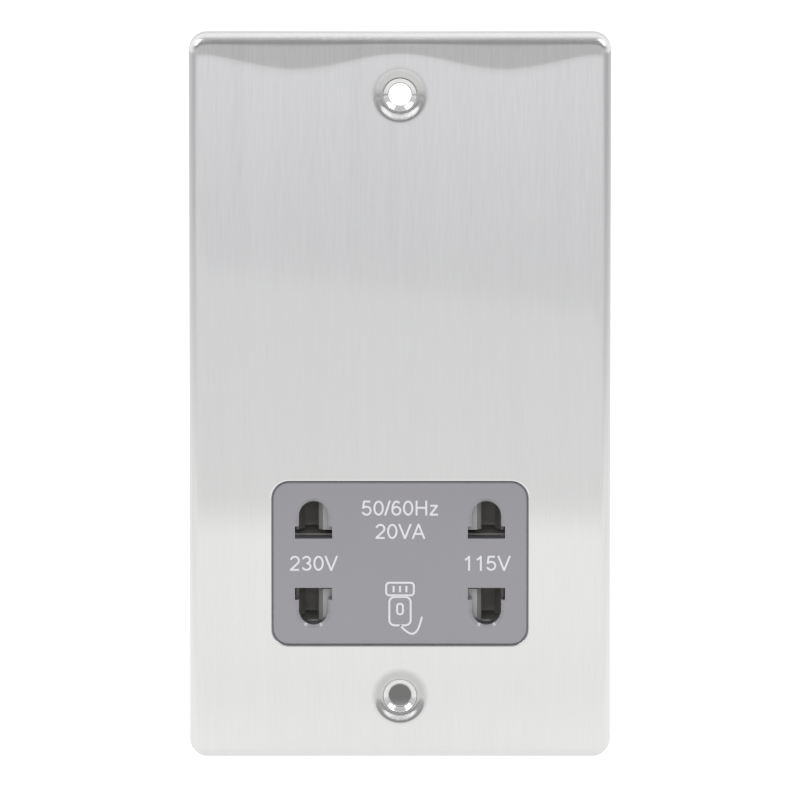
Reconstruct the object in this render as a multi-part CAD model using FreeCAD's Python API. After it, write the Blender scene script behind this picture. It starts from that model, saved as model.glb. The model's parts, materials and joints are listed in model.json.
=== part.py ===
import FreeCAD, Part
import math
import os

# Shaver supply unit on a two-gang wall plate.
# X runs across the plate, Y into the wall and Z up; the origin is the plate's centre on the wall.
# All sizes are in millimetres and all angles in degrees.

# Wall plate
plate_width = 83.8
plate_height = 145.2
plate_depth = 5.0
sheet_thickness = 1.0
plate_corner_radius = 3.6
plate_edge_radius = 1.9

# Dished fixing holes, on the standard centres of a two-gang box
fixing_centres = 120.6
fixing_bore_radius = 2.25
dish_radius = 5.7
dish_lip_radius = 1.65
dish_slope = 40.0
seat_radius = 3.4
seat_slope = 46.0

# Window in the plate for the socket face
window_width = 51.1
window_height = 33.1
window_corner_radius = 3.5
window_drop = 33.5
window_edge_radius = 0.35

# Face moulding
pad_clearance = 0.2
pad_recess = 0.35
pad_edge_radius = 0.35
flange_thickness = 2.0
flange_overhang = 1.7
spigot_wall = 1.5
spigot_length = 2.3
tunnel_length = 2.5
tunnel_wall = 1.5

# Outlets: round pins stand 19 mm apart, in apertures with a bar for flat pins at the inner end
outlet_spacing = 34.4
pin_spacing = 19.0
aperture_radius = 2.92
bar_inner = 4.95
bar_outer = 7.4
bar_width = 7.4
lead_in_width = 0.6
lead_in_depth = 0.5

# Interlock shutter
shutter_thickness = 2.2
shutter_clearance = 0.2
shutter_travel = 2.0
shutter_cover = 1.9
shutter_rim = 0.8
shutter_frame = 1.6
shutter_step = 1.0
shutter_margin = 0.4
ramp_width = 0.85
ramp_depth = 1.5
spring_strip = 0.3
spring_width = 1.6
spring_span = 20.0
spring_space = 3.4
spring_play = 0.1

# Contact carrier
carrier_height = 30.0
carrier_depth = 13.4
carrier_floor = 1.5
carrier_end_wall = 1.2
carrier_clearance = 0.3
well_margin = 0.1
pocket_half_width = 10.0
pocket_half_height = 12.0
pocket_floor = 2.0

# Contacts, bent from flat strip
strip = 0.5
clip_height = 6.6
clip_throat = 3.6
clip_mouth = 6.0
clip_root = 5.6
clip_side_clearance = 0.4
throat_setback = 4.2
mouth_setback = 1.2
tag_width = 2.5
tag_reach = 2.5
tag_clearance = 0.2
bus_height = 5.0

# Transformer, laminations of the standard proportion of six by five
lamination_limb_width = 9.0
stack_thickness = 18.8
core_height = 24.0
core_hole_radius = 1.75
bobbin_depth = 33.0
bobbin_wall = 1.0
bobbin_flange = 1.2
bobbin_clearance = 0.2
winding_inset_x = 0.7
winding_inset_y = 0.7
winding_corner = 3.0
tape_thickness = 0.3
pin_radius = 0.4
pin_length = 4.7
pin_inset = 1.2
secondary_pin_pitch = 12.0
cutout_width = 8.0
cutout_thickness = 3.4
cutout_height = 10.0
cutout_leg_pitch = 4.0
cutout_edge_radius = 0.8

# Rear housing
wall = 2.0
housing_edge_radius = 2.5
core_side_gap = 2.0
core_end_gap = 3.0
coil_front_gap = 0.5
coil_rear_gap = 4.0
wiring_space = 11.5
wiring_depth = 5.5
spigot_clearance = 0.15
post_width = 6.0
post_length = 16.0
carrier_post_radius = 2.0
carrier_post_inset = 3.6
ear_thickness = 4.0
ear_radius = 4.2
ear_reach = 4.5
vent_count = 6
vent_width = 2.0
vent_pitch = 5.0
rear_vent_length = 30.0
side_vent_length = 14.0

# Studs welded to the plate, with their nuts
stud_x = 24.0
stud_radius = 1.5
stud_projection = 1.2
stud_hole_clearance = 0.2
thread_clearance = 0.05
nut_across_flats = 5.5
nut_thickness = 2.4
nut_chamfer = 0.35

# Supply terminals
terminal_x = 10.0
terminal_width = 8.0
terminal_depth = 9.0
terminal_height = 9.0
wire_bore_radius = 2.0
wire_bore_setback = 3.4
tail_width = 4.0
tail_thickness = 0.8
tail_height = 6.0
tail_clearance = 0.15
screw_radius = 1.7
screw_head_radius = 3.1
screw_head_height = 2.0
screw_slot_width = 0.8
screw_slot_depth = 1.0
screw_head_edge_radius = 0.6
terminal_edge_radius = 0.7
barrier_thickness = 1.5
barrier_gap = 0.3
barrier_height = 12.0

# Earth strap
strap_thickness = 0.8
strap_width = 6.0
strap_rise = 23.5
strap_bend_radius = 0.6
strap_foot_radius = 2.4

# Internal leads
lead_radius = 0.7
lead_gap = 0.05
lead_bend_radius = 4.0
lead_drop = 13.0

# Places that follow from the sizes above
face_y = -plate_depth
sheet_back_y = face_y + sheet_thickness
pad_face_y = face_y + pad_recess
flange_back_y = sheet_back_y + flange_thickness
tunnel_end_y = flange_back_y + tunnel_length
shutter_front_y = tunnel_end_y + shutter_clearance
shutter_back_y = shutter_front_y + shutter_thickness
carrier_face_y = shutter_back_y + shutter_clearance
carrier_back_y = carrier_face_y + carrier_depth
well_back_y = carrier_back_y - carrier_floor
shallow_inner_y = carrier_back_y + wiring_depth
shallow_back_y = shallow_inner_y + wall
socket_z = -window_drop
outlet_x = outlet_spacing / 2
pin_offset = pin_spacing / 2
aperture_outer = pin_offset + aperture_radius
well_offset = (bar_inner + aperture_outer) / 2

core_width = 6 * lamination_limb_width
core_rise = 5 * lamination_limb_width
core_leg = 2 * lamination_limb_width
core_leg_x = (core_width - lamination_limb_width) / 2
core_window_rise = 3 * lamination_limb_width
coil_y = flange_back_y + coil_front_gap + bobbin_depth / 2
core_front_y = coil_y - stack_thickness / 2
core_back_y = coil_y + stack_thickness / 2
bobbin_width = core_leg + 2 * (lamination_limb_width - bobbin_clearance) - 2 * bobbin_clearance
bobbin_rise = core_window_rise - 2 * bobbin_clearance
bobbin_bottom_z = core_height - bobbin_rise / 2
tube_width = core_leg + 2 * (bobbin_clearance + bobbin_wall)
tube_depth = stack_thickness + 2 * (bobbin_clearance + bobbin_wall)
section_rise = (bobbin_rise - 3 * bobbin_flange) / 2
winding_width = bobbin_width - 2 * (winding_inset_x + tape_thickness)
winding_depth = bobbin_depth - 2 * (winding_inset_y + tape_thickness)
tape_back_y = coil_y + winding_depth / 2 + tape_thickness
pin_bottom_z = bobbin_bottom_z - pin_length
front_pin_y = coil_y - bobbin_depth / 2 + pin_inset
rear_pin_y = coil_y + bobbin_depth / 2 - pin_inset

inner_half = core_width / 2 + core_side_gap
outer_half = inner_half + wall
inner_top_z = core_height + core_rise / 2 + core_end_gap
outer_top_z = inner_top_z + wall
inner_bottom_z = socket_z - carrier_height / 2 - carrier_clearance
outer_bottom_z = inner_bottom_z - wall
inner_step_z = core_height - core_rise / 2 - wiring_space
outer_step_z = inner_step_z - wall
deep_inner_y = coil_y + bobbin_depth / 2 + coil_rear_gap
deep_back_y = deep_inner_y + wall
carrier_half = inner_half - carrier_clearance
spring_wall_x = carrier_half - carrier_end_wall
shutter_half = spring_wall_x - spring_space
shutter_half_height = aperture_outer + lead_in_width + shutter_rim
ear_back_y = flange_back_y + ear_thickness
stud_top_z = outer_top_z + ear_reach
stud_bottom_z = outer_bottom_z - ear_reach
stud_places = [(x, z) for x in (-stud_x, stud_x) for z in (stud_bottom_z, stud_top_z)]
earth_stud = (-stud_x, stud_bottom_z)
terminal_top_z = outer_step_z
terminal_z = terminal_top_z - terminal_height / 2
tail_top_z = outer_step_z + wall + tail_height
cutout_z = core_height + bobbin_flange / 2 + section_rise / 2
cutout_bottom_z = cutout_z - cutout_height / 2
cutout_y = tape_back_y + cutout_thickness / 2
cutout_x = terminal_x + cutout_leg_pitch / 2
earth_top_z = outer_bottom_z + strap_rise
earth_z = earth_top_z - terminal_height / 2
terminal_places = [(terminal_x, shallow_back_y, terminal_z),
                   (-terminal_x, shallow_back_y, terminal_z),
                   (-stud_x, shallow_back_y + strap_thickness, earth_z)]


def vec(x, y, z):
    return FreeCAD.Vector(x, y, z)


def block(x0, x1, y0, y1, z0, z1):
    """Plain box between two corners."""
    return Part.makeBox(x1 - x0, y1 - y0, z1 - z0, vec(x0, y0, z0))


def bar(x, half_width, y0, y1, z0, z1):
    """Box centred on x."""
    return block(x - half_width, x + half_width, y0, y1, z0, z1)


def rod_y(radius, x, z, y0, y1):
    """Cylinder along Y."""
    return Part.makeCylinder(radius, y1 - y0, vec(x, y0, z), vec(0, 1, 0))


def rod_z(radius, x, y, z0, z1):
    """Cylinder along Z."""
    return Part.makeCylinder(radius, z1 - z0, vec(x, y, z0), vec(0, 0, 1))


def outline(points):
    """Closed face from corner points."""
    return Part.Face(Part.makePolygon(points + points[:1]))


def rounded_plate(width, height, radius, z, y0, y1):
    """Rounded rectangle facing the viewer, centred on x = 0, from y0 back to y1."""
    body = bar(0, width / 2, y0, y1, z - height / 2, z + height / 2)
    edges = [e for e in body.Edges if abs(e.Vertexes[0].Y - e.Vertexes[1].Y) > (y1 - y0) / 2]
    return body.makeFillet(radius, edges)


def rounded_ring(width, depth, radius, z0, z1):
    """Upright rounded block around the coil axis."""
    body = bar(0, width / 2, coil_y - depth / 2, coil_y + depth / 2, z0, z1)
    edges = [e for e in body.Edges if abs(e.Vertexes[0].Z - e.Vertexes[1].Z) > (z1 - z0) / 2]
    return body.makeFillet(radius, edges)


def edges_at_y(shape, y):
    """Edges that lie in one plane parallel to the wall."""
    return [e for e in shape.Edges
            if abs(e.BoundBox.YMin - y) < 1e-4 and abs(e.BoundBox.YMax - y) < 1e-4]


def dish(z):
    """Dished sheet round one fixing hole: rounded lip, cone, steeper screw seat, bore."""
    slope = math.radians(dish_slope)
    seat = math.radians(seat_slope)
    back_radius = dish_lip_radius - sheet_thickness

    def at(radius, depth):
        return vec(radius, face_y + depth, z)

    def on_lip(radius, angle):
        return at(dish_radius - radius * math.sin(angle), dish_lip_radius - radius * math.cos(angle))

    lip_end = on_lip(dish_lip_radius, slope)
    seat_depth = lip_end.y - face_y + (lip_end.x - seat_radius) * math.tan(slope)
    bore_depth = seat_depth + (seat_radius - fixing_bore_radius) * math.tan(seat)
    bisector = (slope + seat) / 2
    reach = sheet_thickness / math.cos((seat - slope) / 2)
    front = Part.Arc(on_lip(dish_lip_radius, 0), on_lip(dish_lip_radius, slope / 2), lip_end)
    back = Part.Arc(on_lip(back_radius, slope), on_lip(back_radius, slope / 2), on_lip(back_radius, 0))
    corners = [lip_end,
               at(seat_radius, seat_depth),
               at(fixing_bore_radius, bore_depth),
               at(fixing_bore_radius, bore_depth + sheet_thickness / math.cos(seat)),
               at(seat_radius + reach * math.sin(bisector), seat_depth + reach * math.cos(bisector)),
               on_lip(back_radius, slope)]
    edges = [front.toShape()]
    edges += [Part.makeLine(a, b) for a, b in zip(corners, corners[1:])]
    edges += [back.toShape(), Part.makeLine(on_lip(back_radius, 0), on_lip(dish_lip_radius, 0))]
    section = Part.Face(Part.Wire(Part.__sortEdges__(edges)))
    return section.revolve(vec(0, 0, z), vec(0, 1, 0), 360)


def front_plate():
    """Pressed tray of thin sheet with the socket window and two dished fixing holes."""
    outer = rounded_plate(plate_width, plate_height, plate_corner_radius, 0, face_y, 0)
    outer = outer.makeFillet(plate_edge_radius, edges_at_y(outer, face_y))
    inner = rounded_plate(plate_width - 2 * sheet_thickness, plate_height - 2 * sheet_thickness,
                          plate_corner_radius - sheet_thickness, 0, sheet_back_y, plate_depth)
    inner = inner.makeFillet(plate_edge_radius - sheet_thickness, edges_at_y(inner, sheet_back_y))
    window = rounded_plate(window_width, window_height, window_corner_radius, socket_z,
                           face_y - sheet_thickness, sheet_back_y + sheet_thickness)
    places = (-fixing_centres / 2, fixing_centres / 2)
    holes = [rod_y(dish_radius, 0, z, face_y - sheet_thickness, sheet_back_y + sheet_thickness)
             for z in places]
    plate = outer.cut(inner).cut([window] + holes)
    rim = [e for e in edges_at_y(plate, face_y)
           if abs(e.CenterOfMass.z - socket_z) < window_height / 2 + window_edge_radius
           and abs(e.CenterOfMass.x) < window_width / 2 + window_edge_radius]
    plate = plate.makeFillet(window_edge_radius, rim)
    return plate.fuse([dish(z) for z in places]).removeSplitter()


def ear(x, z, inner_z, y0, y1):
    """Rounded lug round a stud, reaching in to inner_z, with its stud hole."""
    lug = bar(x, ear_radius, y0, y1, min(z, inner_z), max(z, inner_z))
    lug = lug.fuse(rod_y(ear_radius, x, z, y0, y1))
    return lug.cut(rod_y(stud_radius + stud_hole_clearance, x, z, y0, y1))


def ears(y0, y1):
    """The four lugs of one moulding."""
    return [ear(x, z, math.copysign(min(-outer_bottom_z, outer_top_z) - wall, z), y0, y1)
            for x, z in stud_places]


def aperture(side, way):
    """Cutter for one pin aperture; side is left or right, way is up or down from the middle."""
    y0 = pad_face_y - lead_in_depth
    y1 = tunnel_end_y + lead_in_depth

    def at(across, along, y):
        return vec(side * outlet_x + across, y, socket_z + way * along)

    def dome(radius, y):
        edges = [Part.makeLine(at(-radius, bar_outer, y), at(-radius, pin_offset, y)),
                 Part.Arc(at(-radius, pin_offset, y), at(0, pin_offset + radius, y),
                          at(radius, pin_offset, y)).toShape(),
                 Part.makeLine(at(radius, pin_offset, y), at(radius, bar_outer, y)),
                 Part.makeLine(at(radius, bar_outer, y), at(-radius, bar_outer, y))]
        return Part.Wire(edges)

    slot = Part.Face(dome(aperture_radius, y0)).extrude(vec(0, y1 - y0, 0))
    low, high = sorted((socket_z + way * bar_inner, socket_z + way * bar_outer))
    flat = bar(side * outlet_x, bar_width / 2, y0, y1, low, high)
    lead_in = Part.makeLoft([dome(aperture_radius + lead_in_width, pad_face_y),
                             dome(aperture_radius, pad_face_y + lead_in_depth)], True, True)
    return slot.fuse([flat, lead_in])


def face_moulding():
    """Grey moulding: pad in the window, flange behind the sheet, pin tunnels and core posts."""
    flange_top = outer_top_z + flange_overhang
    flange_bottom = outer_bottom_z - flange_overhang
    flange = rounded_plate(2 * outer_half, flange_top - flange_bottom, housing_edge_radius,
                           (flange_top + flange_bottom) / 2, sheet_back_y, flange_back_y)
    pad = rounded_plate(window_width - 2 * pad_clearance, window_height - 2 * pad_clearance,
                        window_corner_radius - pad_clearance, socket_z, pad_face_y, flange_back_y)
    pad = pad.makeFillet(pad_edge_radius, edges_at_y(pad, pad_face_y))
    spigot_end_y = flange_back_y + spigot_length
    x1 = inner_half - spigot_clearance
    z0 = inner_bottom_z + spigot_clearance
    z1 = inner_top_z - spigot_clearance
    spigot = bar(0, x1, flange_back_y, spigot_end_y, z0, z1)
    spigot = spigot.cut(bar(0, x1 - spigot_wall, flange_back_y, spigot_end_y,
                            z0 + spigot_wall, z1 - spigot_wall))
    tunnel_half = bar_width / 2 + tunnel_wall
    tunnel_reach = aperture_outer + lead_in_width + tunnel_wall
    tunnels = [bar(side * outlet_x, tunnel_half, flange_back_y, tunnel_end_y,
                   socket_z - tunnel_reach, socket_z + tunnel_reach) for side in (-1, 1)]
    posts = [bar(x, post_width / 2, flange_back_y, core_front_y,
                 core_height - post_length / 2, core_height + post_length / 2)
             for x in (-core_leg_x, core_leg_x)]
    body = flange.fuse([pad, spigot] + tunnels + posts + ears(sheet_back_y, flange_back_y))
    body = body.removeSplitter()
    return body.cut([aperture(side, way) for side in (-1, 1) for way in (-1, 1)])


def interlock_shutter():
    """Sliding plate whose windows part-cover every aperture until a pin pushes it aside."""
    body = bar(0, shutter_half, shutter_front_y, shutter_back_y,
               socket_z - shutter_half_height, socket_z + shutter_half_height)
    edge_x = outlet_x - aperture_radius + shutter_cover
    flat_x = outlet_x - bar_width / 2 - shutter_margin
    outer_x = shutter_half - shutter_frame
    low = bar_inner - shutter_margin
    step = bar_inner + shutter_step
    high = aperture_outer + shutter_margin

    def span(a, b, scale, middle):
        return sorted((middle + scale * a, middle + scale * b))

    cuts = []
    for side in (-1, 1):
        for way in (-1, 1):
            for x_from, v_from, v_to in ((edge_x, step, high), (flat_x, low, step)):
                cuts.append(block(*span(x_from, outer_x, side, 0), shutter_front_y, shutter_back_y,
                                  *span(v_from, v_to, way, socket_z)))
            corners = [vec(side * edge_x, shutter_front_y, socket_z + way * step),
                       vec(side * (edge_x - ramp_width), shutter_front_y, socket_z + way * step),
                       vec(side * edge_x, shutter_front_y + ramp_depth, socket_z + way * step)]
            cuts.append(outline(corners).extrude(vec(0, 0, way * (high - step))))
    return body.cut(cuts)


def shutter_spring(side):
    """Bowed strip between the shutter's end and the carrier's end wall."""
    wall_x = side * (spring_wall_x - spring_play)
    crown_x = side * (shutter_half + spring_play)
    thick = side * spring_strip
    y = (shutter_front_y + shutter_back_y - spring_width) / 2

    def bow(end_x, middle_x):
        return Part.Arc(vec(end_x, y, socket_z - spring_span / 2), vec(middle_x, y, socket_z),
                        vec(end_x, y, socket_z + spring_span / 2)).toShape()

    near = bow(wall_x - thick, crown_x)
    far = bow(wall_x, crown_x + thick)
    ends = [Part.makeLine(vec(wall_x - thick, y, z), vec(wall_x, y, z))
            for z in (socket_z - spring_span / 2, socket_z + spring_span / 2)]
    section = Part.Face(Part.Wire(Part.__sortEdges__([near, far] + ends)))
    return section.extrude(vec(0, spring_width, 0))


def contact_carrier():
    """Block behind the shutter with four contact wells, rails for the shutter and end walls."""
    z0 = socket_z - carrier_height / 2
    z1 = socket_z + carrier_height / 2
    guide = shutter_half_height + shutter_clearance
    body = bar(0, carrier_half, tunnel_end_y, carrier_back_y, z0, z1)
    cuts = [bar(0, spring_wall_x, tunnel_end_y, carrier_face_y, socket_z - guide, socket_z + guide),
            bar(0, pocket_half_width, carrier_face_y + pocket_floor, carrier_back_y,
                socket_z - pocket_half_height, socket_z + pocket_half_height)]
    well_half = clip_mouth / 2 + strip + clip_side_clearance
    slot_half = tag_width / 2 + tag_clearance
    for side in (-1, 1):
        for way in (-1, 1):
            low, high = sorted((socket_z + way * (bar_inner - well_margin),
                                socket_z + way * (aperture_outer + well_margin)))
            middle = socket_z + way * well_offset
            slot_rise = strip / 2 + tag_clearance
            cuts.append(bar(side * outlet_x, well_half, carrier_face_y, well_back_y, low, high))
            cuts.append(bar(side * outlet_x, slot_half, well_back_y, carrier_back_y,
                            middle - slot_rise, middle + slot_rise))
    return body.cut(cuts)


def clip(side, way, tag_end_y):
    """Bent contact: two leaves that grip a pin, a flat root and a tag through the carrier."""
    x = side * outlet_x
    z = socket_z + way * well_offset
    half = [(clip_mouth / 2, carrier_face_y + mouth_setback),
            (clip_throat / 2, carrier_face_y + throat_setback),
            (clip_root / 2, well_back_y)]
    outer = [(u + strip, y) for u, y in half]
    inner = half[:2] + [(clip_root / 2, well_back_y - strip)]
    path = [(-u, y) for u, y in outer] + outer[::-1] + inner + [(-u, y) for u, y in inner[::-1]]
    leaves = outline([vec(x + u, y, z - clip_height / 2) for u, y in path])
    leaves = leaves.extrude(vec(0, 0, clip_height))
    return leaves.fuse(bar(x, tag_width / 2, well_back_y, tag_end_y, z - strip / 2, z + strip / 2))


def common_contact():
    """Both upper clips, joined behind the carrier by one strip."""
    z = socket_z + well_offset
    end_y = carrier_back_y + strip
    bus = bar(0, outlet_x + tag_width / 2, carrier_back_y, end_y, z - bus_height / 2, z + bus_height / 2)
    return bus.fuse([clip(side, 1, end_y) for side in (-1, 1)]).removeSplitter()


def outlet_contact(side):
    """Lower clip of one outlet."""
    return clip(side, -1, carrier_back_y + tag_reach).removeSplitter()


def laminated_core():
    """Stack of laminations with two winding windows and a rivet hole at each corner."""
    body = bar(0, core_width / 2, core_front_y, core_back_y,
               core_height - core_rise / 2, core_height + core_rise / 2)
    hole_z = core_rise / 2 - lamination_limb_width / 2
    cuts = []
    for side in (-1, 1):
        cuts.append(bar(side * (core_leg + lamination_limb_width) / 2, lamination_limb_width / 2, core_front_y,
                        core_back_y, core_height - core_window_rise / 2,
                        core_height + core_window_rise / 2))
        for way in (-1, 1):
            cuts.append(rod_y(core_hole_radius, side * core_leg_x, core_height + way * hole_z,
                              core_front_y, core_back_y))
    return body.cut(cuts)


def coil_block(width, depth, z0, z1):
    """Square-cornered block around the coil axis."""
    return bar(0, width / 2, coil_y - depth / 2, coil_y + depth / 2, z0, z1)


def bobbin():
    """Tube on the middle leg with an end flange at each end and one between the windings."""
    top = bobbin_bottom_z + bobbin_rise
    body = coil_block(tube_width, tube_depth, bobbin_bottom_z, top)
    flanges = []
    for index in range(3):
        z = bobbin_bottom_z + index * (section_rise + bobbin_flange)
        flanges.append(coil_block(bobbin_width, bobbin_depth, z, z + bobbin_flange))
    bore = coil_block(core_leg + 2 * bobbin_clearance, stack_thickness + 2 * bobbin_clearance,
                      bobbin_bottom_z, top)
    return body.fuse(flanges).removeSplitter().cut(bore)


def section_base(index):
    """Bottom of a winding section, counted from the lower flange."""
    return bobbin_bottom_z + bobbin_flange + index * (section_rise + bobbin_flange)


def winding(index):
    """Wire of one winding, wound on the tube between two flanges."""
    z = section_base(index)
    coil = rounded_ring(winding_width, winding_depth, winding_corner, z, z + section_rise)
    return coil.cut(coil_block(tube_width, tube_depth, z, z + section_rise))


def winding_tape(index):
    """Tape round one winding."""
    z = section_base(index)
    outer = rounded_ring(winding_width + 2 * tape_thickness, winding_depth + 2 * tape_thickness,
                         winding_corner + tape_thickness, z, z + section_rise)
    return outer.cut(rounded_ring(winding_width, winding_depth, winding_corner, z, z + section_rise))


def bobbin_pins():
    """Solder pins under the lower flange: three at the front, two at the rear."""
    places = [(n * secondary_pin_pitch, front_pin_y) for n in (-1, 0, 1)]
    places += [(-terminal_x, rear_pin_y), (cutout_x + cutout_leg_pitch / 2, rear_pin_y)]
    return Part.makeCompound([rod_z(pin_radius, x, y, pin_bottom_z, bobbin_bottom_z) for x, y in places])


def thermal_cutout():
    """Cut-out lying on the primary's tape."""
    body = bar(cutout_x, cutout_width / 2, tape_back_y, tape_back_y + cutout_thickness,
               cutout_bottom_z, cutout_bottom_z + cutout_height)
    return body.makeFillet(cutout_edge_radius, [e for e in body.Edges
                                                if e.BoundBox.ZLength > cutout_height / 2])


def housing_shell():
    """Two-step box, deep behind the transformer and shallow behind the outlets."""
    deep = bar(0, outer_half, flange_back_y, deep_back_y, outer_step_z, outer_top_z)
    rounded = edges_at_y(deep, deep_back_y)
    rounded += [e for e in deep.Edges if e.BoundBox.YLength > wall and e.CenterOfMass.z > inner_top_z]
    deep = deep.makeFillet(housing_edge_radius, rounded)
    shallow = bar(0, outer_half, flange_back_y, shallow_back_y, outer_bottom_z, inner_step_z)
    rounded = [e for e in edges_at_y(shallow, shallow_back_y) if e.CenterOfMass.z < outer_step_z]
    rounded += [e for e in shallow.Edges
                if e.BoundBox.YLength > wall and e.CenterOfMass.z < inner_bottom_z]
    shallow = shallow.makeFillet(housing_edge_radius, rounded)
    room = [bar(0, inner_half, flange_back_y, deep_inner_y, inner_step_z, inner_top_z),
            bar(0, inner_half, flange_back_y, shallow_inner_y, inner_bottom_z, inner_top_z)]
    return deep.fuse(shallow).cut(room)


def housing_vents():
    """Cutters for the cooling slots in the back and in both sides of the deep part."""
    cuts = []
    for index in range(vent_count):
        z = core_height + (index - (vent_count - 1) / 2) * vent_pitch
        z0 = z - vent_width / 2
        z1 = z + vent_width / 2
        cuts.append(bar(0, rear_vent_length / 2, deep_inner_y, deep_back_y, z0, z1))
        for side in (-1, 1):
            cuts.append(bar(side * (inner_half + wall / 2), wall / 2, core_front_y - post_width / 2,
                            core_front_y - post_width / 2 + side_vent_length, z0, z1))
    return cuts


def rear_housing():
    """Housing with lugs, core posts, carrier posts, terminal barriers and tail slots."""
    shell = housing_shell().cut(housing_vents())
    adds = ears(flange_back_y, ear_back_y)
    for side in (-1, 1):
        adds.append(bar(side * core_leg_x, post_width / 2, core_back_y, deep_inner_y,
                        core_height - post_length / 2, core_height + post_length / 2))
        for way in (-1, 1):
            adds.append(rod_y(carrier_post_radius, side * (carrier_half - carrier_post_inset),
                              socket_z + way * (carrier_height / 2 - carrier_post_inset),
                              carrier_back_y, shallow_inner_y))
    barrier_x = terminal_x + terminal_width / 2 + barrier_gap + barrier_thickness / 2
    for x in (-barrier_x, 0, barrier_x):
        adds.append(bar(x, barrier_thickness / 2, shallow_inner_y, shallow_back_y + terminal_depth,
                        outer_step_z - barrier_height, outer_step_z))
    slot_half = tail_thickness / 2 + tail_clearance
    slots = [bar(x, tail_width / 2 + tail_clearance, rear_pin_y - slot_half, rear_pin_y + slot_half,
                 outer_step_z, inner_step_z) for x in (-terminal_x, terminal_x)]
    room = [bar(0, inner_half, flange_back_y, ear_back_y, inner_bottom_z, inner_top_z)]
    return shell.fuse([a.cut(room) for a in adds]).removeSplitter().cut(slots)


def terminal_block(x, y, z):
    """Brass block with an upright wire bore and a clamp screw hole from behind."""
    body = bar(x, terminal_width / 2, y, y + terminal_depth,
               z - terminal_height / 2, z + terminal_height / 2)
    body = body.makeFillet(terminal_edge_radius, [e for e in body.Edges
                                                  if e.BoundBox.ZLength > terminal_height / 2])
    bore_y = y + wire_bore_setback
    bore = rod_z(wire_bore_radius, x, bore_y, z - terminal_height / 2, z + terminal_height / 2)
    return body.cut([bore, rod_y(screw_radius + thread_clearance, x, z, bore_y, y + terminal_depth)])


def supply_terminal(place):
    """Terminal with a tail that passes up through the housing's step."""
    x, y, z = place
    tail = bar(x, tail_width / 2, rear_pin_y - tail_thickness / 2, rear_pin_y + tail_thickness / 2,
               terminal_top_z, tail_top_z)
    return terminal_block(x, y, z).fuse(tail)


def terminal_screws():
    """Slotted clamp screws of the three terminals."""
    screws = []
    for x, y, z in terminal_places:
        head_y = y + terminal_depth
        top_y = head_y + screw_head_height
        shank = rod_y(screw_radius, x, z, y + wire_bore_setback + wire_bore_radius, head_y)
        head = rod_y(screw_head_radius, x, z, head_y, top_y)
        head = head.makeFillet(screw_head_edge_radius, edges_at_y(head, top_y))
        slot = bar(x, screw_head_radius, top_y - screw_slot_depth, top_y,
                   z - screw_slot_width / 2, z + screw_slot_width / 2)
        screws.append(shank.fuse(head).cut(slot))
    return Part.makeCompound(screws)


def earth_strap():
    """Strip from the earth stud, under the housing and up its back to the earth terminal."""
    t = strap_thickness
    x = earth_stud[0] - strap_width / 2
    foot_z = earth_stud[1] - ear_radius
    bends = {1: strap_bend_radius, 2: housing_edge_radius + t,
             5: housing_edge_radius, 6: strap_bend_radius + t}
    corners = [(ear_back_y + t, foot_z), (ear_back_y + t, outer_bottom_z - t),
               (shallow_back_y + t, outer_bottom_z - t), (shallow_back_y + t, earth_top_z),
               (shallow_back_y, earth_top_z), (shallow_back_y, outer_bottom_z),
               (ear_back_y, outer_bottom_z), (ear_back_y, foot_z)]
    body = outline([vec(x, y, z) for y, z in corners]).extrude(vec(strap_width, 0, 0))
    for index, radius in bends.items():
        y, z = corners[index]
        line = [e for e in body.Edges if e.BoundBox.XLength > strap_width / 2
                and math.hypot(e.CenterOfMass.y - y, e.CenterOfMass.z - z) < t / 4]
        body = body.makeFillet(radius, line)
    foot = [e for e in body.Edges if e.BoundBox.YLength > t / 2 and abs(e.CenterOfMass.z - foot_z) < t / 4
            and e.BoundBox.XLength < t / 4]
    body = body.makeFillet(strap_foot_radius, foot)
    hole = rod_y(stud_radius + stud_hole_clearance, earth_stud[0], earth_stud[1],
                 ear_back_y, ear_back_y + t)
    return body.cut(hole)


def nut_seat(place):
    """Where the nut of a stud sits: on the lug, or on the strap that lies on it."""
    return ear_back_y + (strap_thickness if place == earth_stud else 0)


def weld_studs():
    """Studs welded to the back of the sheet."""
    end_y = ear_back_y + strap_thickness + nut_thickness + stud_projection
    return Part.makeCompound([rod_y(stud_radius, x, z, sheet_back_y, end_y) for x, z in stud_places])


def stud_nuts():
    """Hexagon nuts on the studs, flats level."""
    nuts = []
    reach = nut_across_flats / 2 / math.cos(math.pi / 6)
    for place in stud_places:
        x, z = place
        y = nut_seat(place)
        corners = [vec(x + reach * math.cos(n * math.pi / 3), y, z + reach * math.sin(n * math.pi / 3))
                   for n in range(6)]
        turned = rod_y(reach, x, z, y, y + nut_thickness)
        turned = turned.makeChamfer(nut_chamfer, edges_at_y(turned, y) + edges_at_y(turned, y + nut_thickness))
        nut = outline(corners).extrude(vec(0, nut_thickness, 0)).common(turned)
        nuts.append(nut.cut(rod_y(stud_radius + thread_clearance, x, z, y, y + nut_thickness)))
    return Part.makeCompound(nuts)


def lead(points):
    """Round insulated wire along straight runs joined by arcs."""
    points = [vec(*p) for p in points]
    pieces = []
    start = points[0]
    for before, corner, after in zip(points, points[1:], points[2:]):
        back = (before - corner).normalize()
        on = (after - corner).normalize()
        turn = math.pi - back.getAngle(on)
        tangent = lead_bend_radius * math.tan(turn / 2)
        first = corner + back * tangent
        centre = corner + (back + on).normalize() * (lead_bend_radius / math.cos(turn / 2))
        ring = Part.Face(Part.Wire(Part.makeCircle(lead_radius, first, back)))
        pieces.append(Part.makeCylinder(lead_radius, (first - start).Length, start, first - start))
        pieces.append(ring.revolve(centre, on.cross(back), math.degrees(turn)))
        start = corner + on * tangent
    end = points[-1] - start
    pieces.append(Part.makeCylinder(lead_radius, end.Length, start, end))
    return pieces[0].fuse(pieces[1:])


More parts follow.
